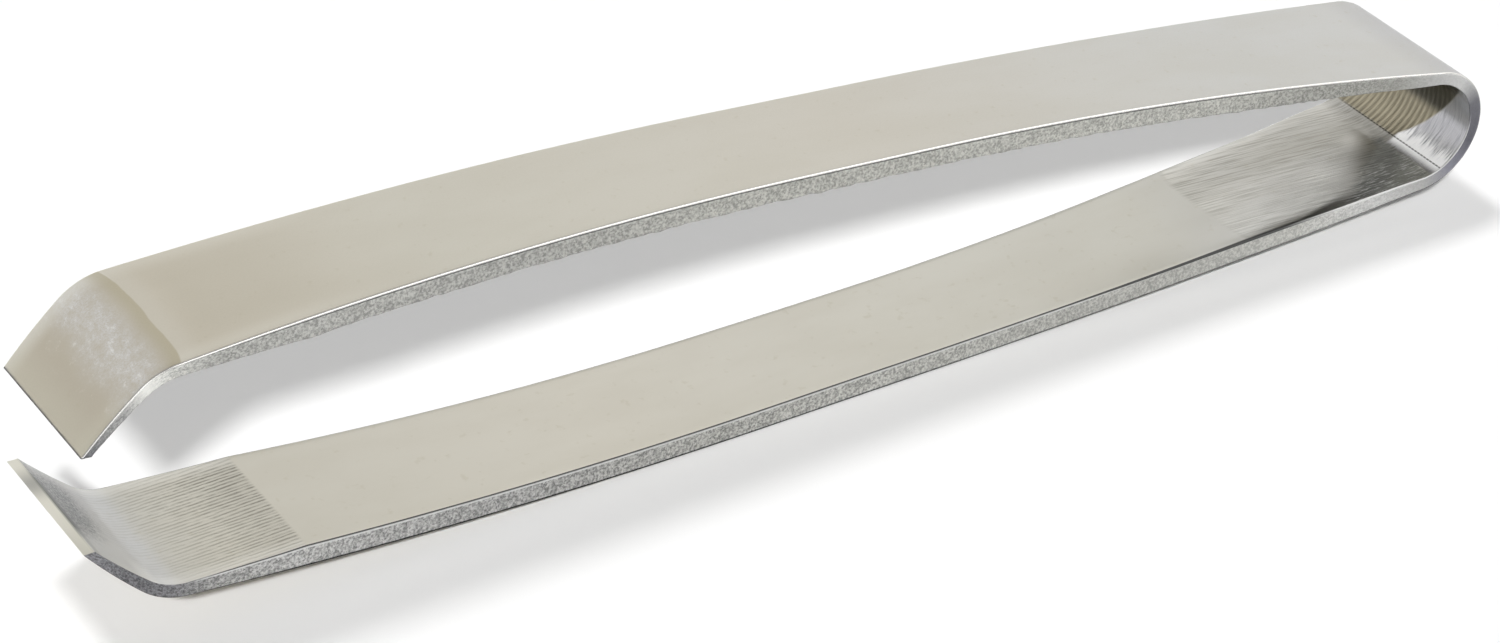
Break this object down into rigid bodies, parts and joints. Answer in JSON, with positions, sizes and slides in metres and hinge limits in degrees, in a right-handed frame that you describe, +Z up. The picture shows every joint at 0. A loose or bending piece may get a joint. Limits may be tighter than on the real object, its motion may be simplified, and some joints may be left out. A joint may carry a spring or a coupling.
{
  "type": "fish bone tweezers",
  "caption": "Flat stainless tweezers for pulling bones from fish: a bent strip with a spring bow, waisted arms and broad inturned jaws.",
  "frame": {"origin": "middle of the tweezers' box in X and Y, on the surface that they lie on", "axes": "+X along the length, from the jaws to the bow; +Y across the strip; +Z up, with the tweezers lying on the back of the lower arm"},
  "size_m": [0.12, 0.0134, 0.0222],
  "materials": {
    "satin_steel": "satin, with ground inner faces and sheared edges"
  },
  "bodies": {
    "spring_bow": {"spring_bow": "satin_steel"},
    "upper_arm": {"upper_arm": "satin_steel"},
    "lower_arm": {"lower_arm": "satin_steel"}
  },
  "joints": [
    {"name": "upper_arm_squeeze", "type": "hinge", "parent": "spring_bow", "child": "upper_arm", "pos_m": [0.04677, 0, 0.01388], "axis": [0, -1, 0], "range_deg": [0, 2.03], "stiffness_Nm_per_rad": 12.3},
    {"name": "lower_arm_squeeze", "type": "hinge", "parent": "spring_bow", "child": "lower_arm", "pos_m": [0.04627, 0, 0.00245], "axis": [0, 1, 0], "range_deg": [0, 2.03], "stiffness_Nm_per_rad": 12.3}
  ],
  "couplings": [
    {"joint": "lower_arm_squeeze", "follows": "upper_arm_squeeze", "ratio": 1}
  ]
}
